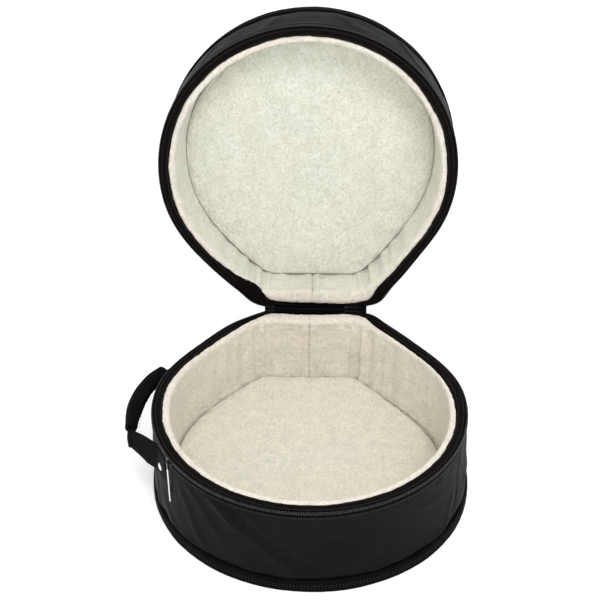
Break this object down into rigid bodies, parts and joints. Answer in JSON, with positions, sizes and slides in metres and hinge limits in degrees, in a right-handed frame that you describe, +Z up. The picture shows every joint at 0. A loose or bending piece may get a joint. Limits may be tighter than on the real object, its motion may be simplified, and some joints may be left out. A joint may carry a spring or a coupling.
{
  "type": "round padded instrument case",
  "caption": "Round soft case with a fleece-lined deep base and a shallow hinged lid, coil zip round the rim, flat hinge side and a webbing carry handle at the left.",
  "frame": {"origin": "centre of the round front's arc, on the plane the base rests on", "axes": "+Z up out of the open base, -Y towards the front of the zip, +Y towards the fabric hinge, -X towards the carry handle; the lid stands open at rest"},
  "size_m": [0.4589, 0.5307, 0.5568],
  "materials": {
    "outer_nylon": "coated black nylon, soft satin sheen, creased",
    "lining_fleece": "off-white sherpa fleece with a nubbly pile",
    "padding_foam": "closed-cell foam, matt",
    "edge_tape": "black ribbed binding tape",
    "zip_tape": "black woven zip tape",
    "zip_coil": "black nylon coil",
    "zip_stop": "black moulded stop",
    "slider_black": "black painted die-cast slider",
    "webbing": "black woven webbing",
    "grip_cover": "black fabric cover, sewn shut",
    "nickel": "bright nickel plate"
  },
  "bodies": {
    "base": {"base_side_panel": "outer_nylon", "base_bottom_panel": "outer_nylon", "base_side_foam": "padding_foam", "base_bottom_foam": "padding_foam", "base_side_fleece": "lining_fleece", "base_floor_fleece": "lining_fleece", "base_edge_binding": "edge_tape", "base_rim_facing": "edge_tape", "base_zip_tape": "zip_tape", "base_zip_coil": "zip_coil", "base_zip_stops": "zip_stop", "hinge_panel": "outer_nylon", "handle_end_front": "webbing", "handle_end_rear": "webbing", "handle_rivets": "nickel", "rivet_washers": "nickel"},
    "lid": {"lid_side_panel": "outer_nylon", "lid_top_panel": "outer_nylon", "lid_side_foam": "padding_foam", "lid_top_foam": "padding_foam", "lid_side_fleece": "lining_fleece", "lid_top_fleece": "lining_fleece", "lid_edge_binding": "edge_tape", "lid_rim_facing": "edge_tape", "lid_zip_tape": "zip_tape", "lid_zip_coil": "zip_coil", "lid_zip_stops": "zip_stop"},
    "handle": {"handle_grip": "grip_cover", "handle_strap": "webbing"},
    "slider": {"zip_slider": "slider_black"},
    "pull": {"zip_pull": "nickel"}
  },
  "joints": [
    {"name": "lid_hinge", "type": "hinge", "parent": "base", "child": "lid", "pos_m": [0, 0.2185, 0.128], "axis": [1, 0, 0], "range_deg": [-87.5, 92.5], "deforming": ["hinge_panel"]},
    {"name": "handle_swing", "type": "hinge", "parent": "base", "child": "handle", "pos_m": [-0.20209, -0.06372, 0.102], "axis": [0.0785, 0.9969, 0], "range_deg": [-70, 14], "deforming": ["handle_end_front", "handle_end_rear"]},
    {"name": "zip_slide", "type": "hinge", "parent": "base", "child": "slider", "pos_m": [0, 0, 0.125], "axis": [0, 0, 1], "range_deg": [0, 172]},
    {"name": "pull_swing", "type": "hinge", "parent": "slider", "child": "pull", "pos_m": [-0.18032, -0.11488, 0.12385], "axis": [-0.5373, 0.8434, 0], "range_deg": [0, 170]}
  ]
}
